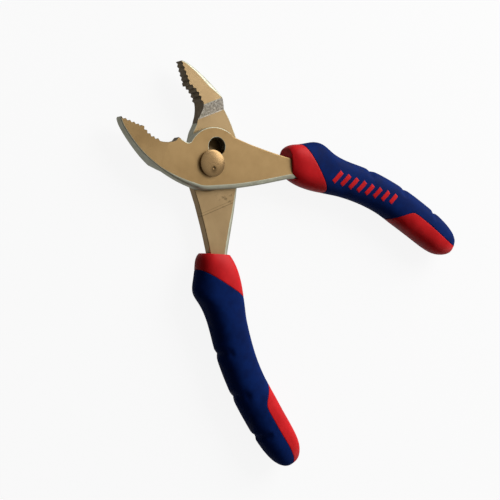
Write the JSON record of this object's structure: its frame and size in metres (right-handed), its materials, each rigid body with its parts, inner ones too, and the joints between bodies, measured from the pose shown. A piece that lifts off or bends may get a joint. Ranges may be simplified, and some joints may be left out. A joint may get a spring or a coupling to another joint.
{
  "type": "slip joint pliers",
  "caption": "Slip joint pliers lying open: two lapped steel halves on a pivot that slips between two lobes, with toothed jaws and two-colour moulded grips.",
  "frame": {"origin": "on the pivot axis, where it leaves the flat back of the rear half", "axes": "+Z along the pivot axis towards the domed cap, +Y along the front half from its handle to its jaw"},
  "size_m": [0.1602, 0.201, 0.0166],
  "materials": {
    "forged_steel": "satin ground and nickel plated",
    "pivot_steel": "polished dome",
    "red_core": "moulded, semi gloss",
    "blue_cover": "soft overmould, matte"
  },
  "bodies": {
    "front_body": {"front_half": "forged_steel", "front_grip_core": "red_core", "front_grip_cover": "blue_cover"},
    "slip_body": {"pivot_cap": "pivot_steel"},
    "rear_body": {"rear_half": "forged_steel", "pivot_bolt": "pivot_steel", "rear_grip_core": "red_core", "rear_grip_cover": "blue_cover"}
  },
  "joints": [
    {"name": "slip", "type": "slide", "parent": "front_body", "child": "slip_body", "axis": [1, 0, 0], "range_m": [0, 0.0085]},
    {"name": "jaw_hinge", "type": "hinge", "parent": "slip_body", "child": "rear_body", "pos_m": [0, 0, 0], "axis": [0, 0, 1], "range_deg": [-10, 48]}
  ]
}
